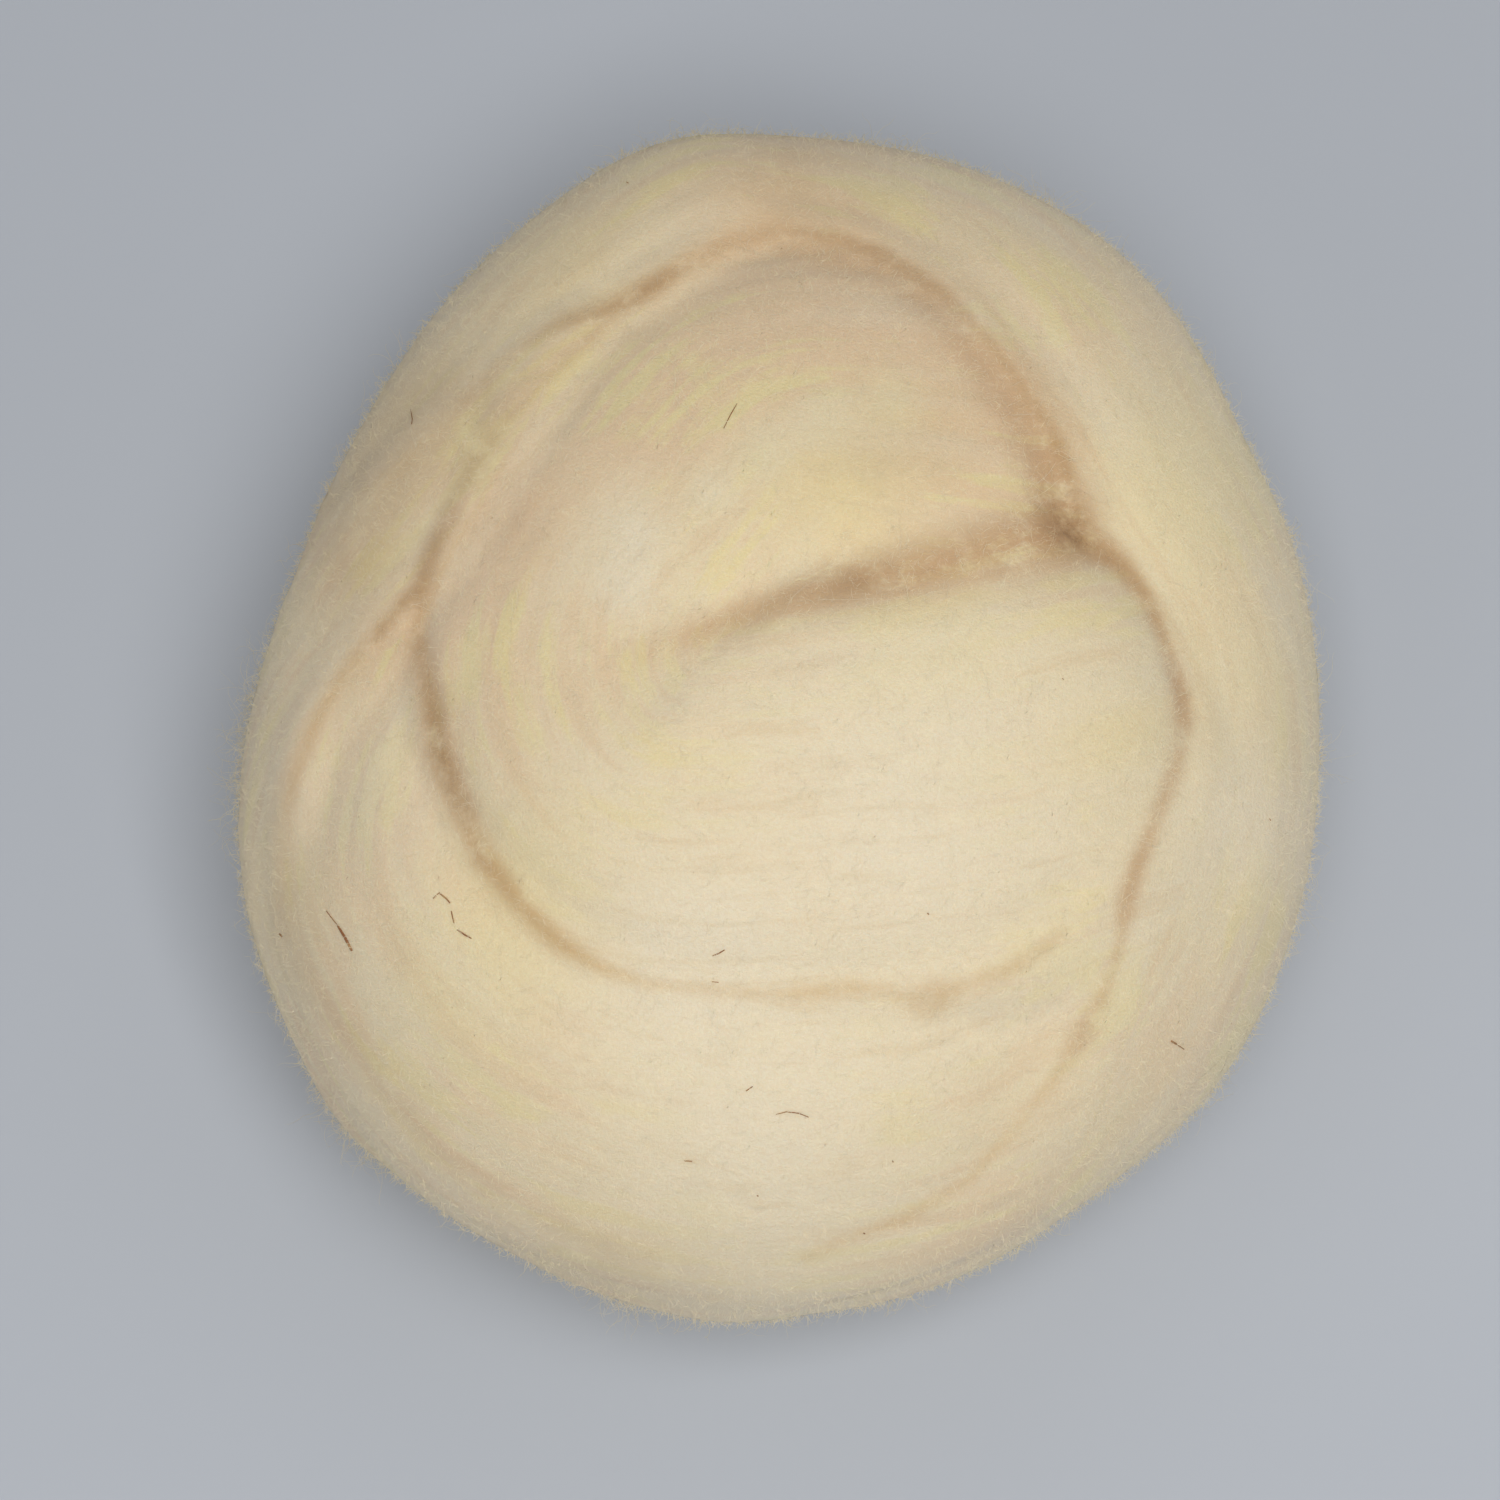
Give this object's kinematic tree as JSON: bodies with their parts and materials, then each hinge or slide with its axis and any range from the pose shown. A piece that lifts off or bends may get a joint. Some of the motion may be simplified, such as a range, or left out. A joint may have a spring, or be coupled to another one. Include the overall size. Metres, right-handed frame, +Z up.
{
  "type": "wool roving ball",
  "caption": "Soft ball of combed wool roving, one broad flattened strand wound in crossing turns with a hairpin loop on top, lying on a small flat spot.",
  "frame": {"origin": "under the middle of the ball's outline, on the surface it rests on", "axes": "+Z up through the top loops, +Y to the far side along the ball's longest way, +X to the right"},
  "size_m": [0.1644, 0.183, 0.1122],
  "materials": {
    "wool": "matte, fuzzy, cream-white"
  },
  "bodies": {
    "root": {"roving_ball": "wool"}
  },
  "joints": []
}
